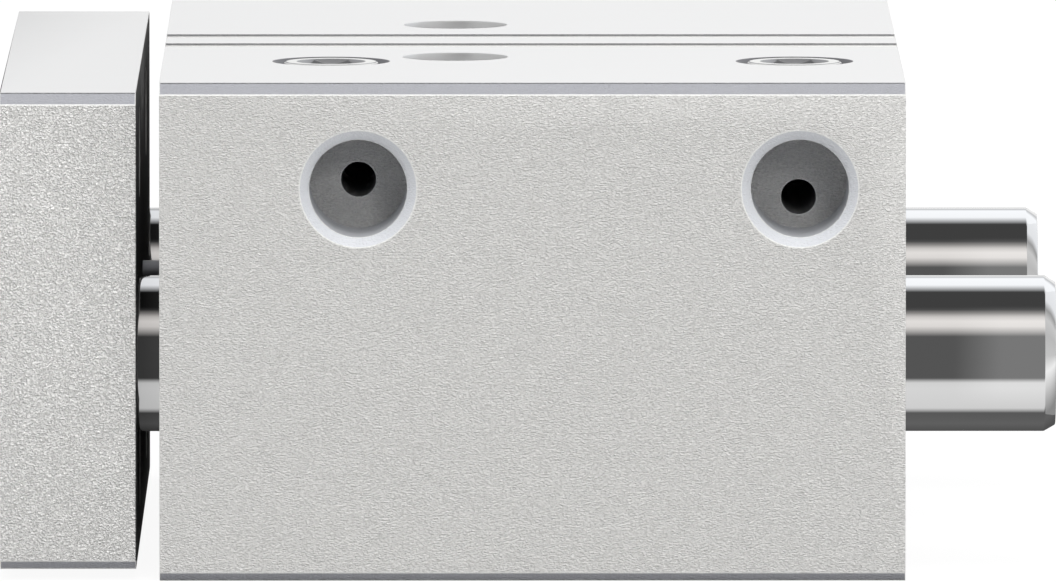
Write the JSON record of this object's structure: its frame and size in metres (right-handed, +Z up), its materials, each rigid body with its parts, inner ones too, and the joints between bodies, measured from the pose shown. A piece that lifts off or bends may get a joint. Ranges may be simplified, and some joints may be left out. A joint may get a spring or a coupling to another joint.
{
  "type": "guided pneumatic cylinder",
  "caption": "Compact block cylinder whose yoke plate is guided by two rods beside the piston rod, with side air ports and top sensor slots.",
  "frame": {"origin": "centre of the housing's underside", "axes": "+X along the stroke towards the rear, away from the yoke; +Y across the guide rods, away from the air ports; +Z up to the face with the sensor slots"},
  "size_m": [0.0541, 0.057, 0.0255],
  "materials": {
    "housing": "extruded aluminium, clear anodised, matt",
    "yoke": "aluminium plate, clear anodised, matt",
    "guide_rod": "hardened steel, ground and chromed",
    "piston_rod": "stainless steel, ground",
    "cap": "turned aluminium, anodised",
    "bush": "sintered bronze, oiled",
    "screw": "steel, zinc plated",
    "retaining_ring": "spring steel, phosphated",
    "plug": "steel, nickel plated",
    "seal": "nitrile rubber",
    "cushion": "polyurethane",
    "piston": "turned aluminium",
    "magnet": "plastic-bonded ferrite",
    "guide_band": "filled polymer"
  },
  "bodies": {
    "cylinder": {"housing": "housing", "front_cap": "cap", "rear_cap": "cap", "rod_bush": "bush", "guide_bush_front_port_side": "bush", "guide_bush_front_plain_side": "bush", "guide_bush_rear_port_side": "bush", "guide_bush_rear_plain_side": "bush", "front_retaining_ring": "retaining_ring", "rear_retaining_ring": "retaining_ring", "blanking_plug_front": "plug", "blanking_plug_rear": "plug", "rod_seal": "seal", "front_cap_o_ring": "seal", "rear_cap_o_ring": "seal", "guide_wiper_port_side": "seal", "guide_wiper_plain_side": "seal", "front_cushion": "cushion", "rear_cushion": "cushion"},
    "slide": {"yoke_plate": "yoke", "guide_rod_port_side": "guide_rod", "guide_rod_plain_side": "guide_rod", "guide_rod_screw_port_side": "screw", "guide_rod_screw_plain_side": "screw", "piston_rod": "piston_rod", "piston_rod_screw": "screw", "piston_front_half": "piston", "piston_rear_half": "piston", "piston_magnet": "magnet", "piston_guide_band": "guide_band", "piston_seal_front": "seal", "piston_seal_rear": "seal", "piston_nut": "screw"}
  },
  "joints": [
    {"name": "extend", "type": "slide", "parent": "cylinder", "child": "slide", "axis": [-1, 0, 0], "range_m": [0, 0.01]}
  ]
}
